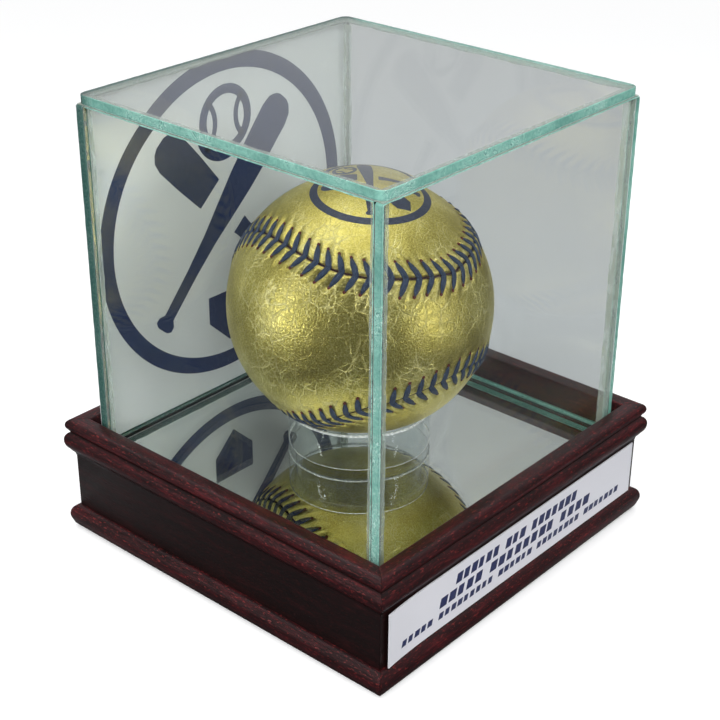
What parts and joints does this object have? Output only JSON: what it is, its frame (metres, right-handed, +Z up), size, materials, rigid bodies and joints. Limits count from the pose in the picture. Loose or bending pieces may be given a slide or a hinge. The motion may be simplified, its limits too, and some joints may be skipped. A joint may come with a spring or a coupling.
{
  "type": "baseball display case",
  "caption": "Glass cube cover on a moulded mahogany-stained wood base with a mirror floor, holding a gold leather baseball on a clear ring stand.",
  "frame": {"origin": "centre of the square footprint, on the surface that the felt pads stand on", "axes": "+Z up, -Y towards the label side, +Y towards the printed card at the back"},
  "size_m": [0.1198, 0.1198, 0.1313],
  "materials": {
    "mahogany": "dark mahogany stain under satin lacquer",
    "plywood": "bare",
    "hardboard": "bare hardboard",
    "felt": "black felt",
    "mirror": "silvered behind 3 mm glass",
    "glass": "clear float glass with ground blue-green edges",
    "silicone": "clear silicone sealant",
    "card": "white printed card",
    "label": "white printed label card",
    "acrylic": "clear polished acrylic",
    "gold_leather": "crinkled metallic gold foil leather",
    "thread": "waxed navy cotton thread",
    "wool": "grey wool yarn",
    "cork_rubber": "red rubber over cork"
  },
  "bodies": {
    "base": {"rail_front": "mahogany", "rail_right": "mahogany", "rail_back": "mahogany", "rail_left": "mahogany", "deck_board": "plywood", "bottom_panel": "hardboard", "corner_block_front_left": "plywood", "corner_block_front_right": "plywood", "corner_block_back_right": "plywood", "corner_block_back_left": "plywood", "felt_pad_front_left": "felt", "felt_pad_front_right": "felt", "felt_pad_back_right": "felt", "felt_pad_back_left": "felt", "mirror_plate": "mirror", "label_card": "label"},
    "cover": {"pane_front": "glass", "pane_right": "glass", "pane_back": "glass", "pane_left": "glass", "top_plate": "glass", "silicone_front_left": "silicone", "silicone_front_right": "silicone", "silicone_back_right": "silicone", "silicone_back_left": "silicone", "silicone_top": "silicone", "art_card": "card"},
    "stand": {"ball_ring": "acrylic"},
    "ball": {"ball_cover_back": "gold_leather", "ball_cover_front": "gold_leather", "ball_seam_thread": "thread", "ball_winding": "wool", "ball_core": "cork_rubber"}
  },
  "joints": [
    {"name": "cover_lift", "type": "slide", "parent": "base", "child": "cover", "axis": [0, 0, 1], "range_m": [0, 0.12]},
    {"name": "stand_turn", "type": "hinge", "parent": "base", "child": "stand", "pos_m": [0, 0, 0.0281], "axis": [0, 0, 1], "continuous": true},
    {"name": "ball_lift", "type": "slide", "parent": "stand", "child": "ball", "axis": [0, 0, 1], "range_m": [0, 0.019]}
  ]
}
